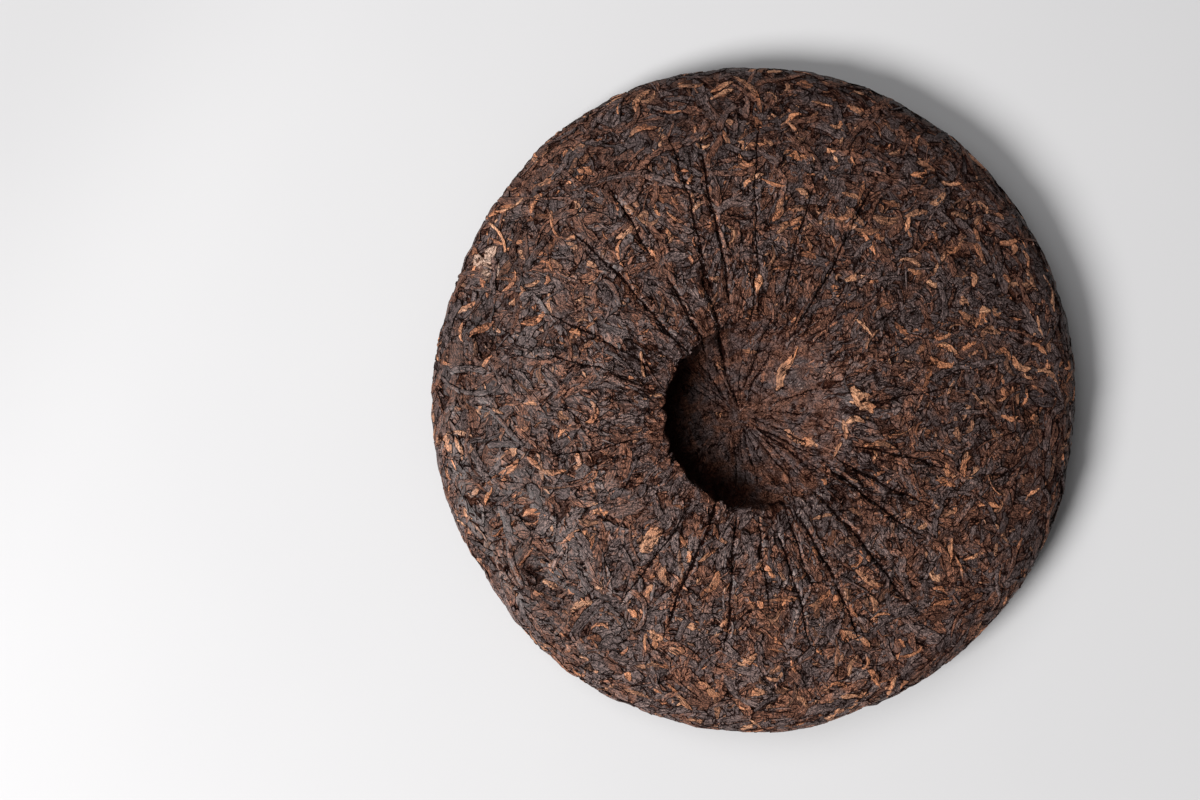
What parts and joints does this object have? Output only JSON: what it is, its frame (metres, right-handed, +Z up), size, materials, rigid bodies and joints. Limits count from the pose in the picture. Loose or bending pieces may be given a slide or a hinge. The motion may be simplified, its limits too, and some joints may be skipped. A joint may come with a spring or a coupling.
{
  "type": "pressed tea cake",
  "caption": "Round pressed cake of dark pu erh tea leaves, domed, with the hollow and radiating folds left by the knot of its pressing cloth.",
  "frame": {"origin": "middle of the cake's footprint, on the surface it lies on", "axes": "+Z up out of the hollow in its back, +Y along its slightly longer width; the steep wall of the hollow is towards -X"},
  "size_m": [0.2014, 0.206, 0.0275],
  "materials": {
    "pressed_tea": "dry dark brown tea leaves pressed hard together, dull, with lighter brown and golden bits"
  },
  "bodies": {
    "root": {"tea_cake": "pressed_tea"}
  },
  "joints": []
}
